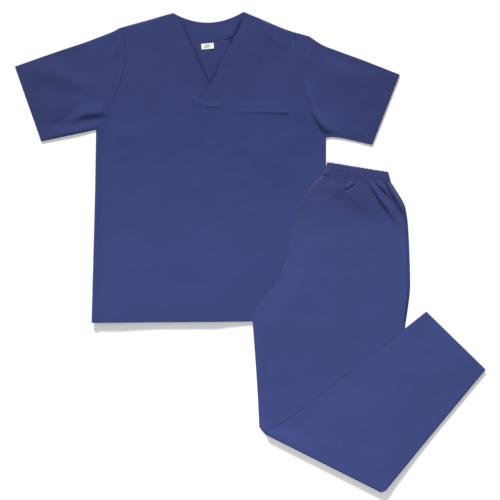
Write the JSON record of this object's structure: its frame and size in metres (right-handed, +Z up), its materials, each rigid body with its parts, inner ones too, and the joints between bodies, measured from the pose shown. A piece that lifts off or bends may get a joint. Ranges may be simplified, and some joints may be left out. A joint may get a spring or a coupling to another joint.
{
  "type": "medical scrubs set",
  "caption": "Short-sleeved top with a wrapped V neck and a chest pocket, and elastic-waisted trousers folded lengthwise, laid over its hem and turned up once at the knee.",
  "frame": {"origin": "on the surface the set lies on, under the middle of its outline", "axes": "+Z up out of the surface, +Y along the top towards its neck, +X towards the wearer's left sleeve"},
  "size_m": [1.1284, 1.1514, 0.0112],
  "materials": {
    "navy_poplin": "matt, plain-woven polyester and cotton poplin, dyed navy blue",
    "woven_label": "matt, woven off-white tape"
  },
  "bodies": {
    "root": {"top_back": "navy_poplin", "top_front": "navy_poplin", "neck_band_right": "navy_poplin", "neck_band_left": "navy_poplin", "neck_facing": "navy_poplin", "neck_label": "woven_label", "sleeve_right": "navy_poplin", "sleeve_left": "navy_poplin", "chest_pocket": "navy_poplin", "trouser_back_right": "navy_poplin", "trouser_back_left": "navy_poplin", "trouser_fronts": "navy_poplin", "trouser_waistband": "navy_poplin"}
  },
  "joints": []
}
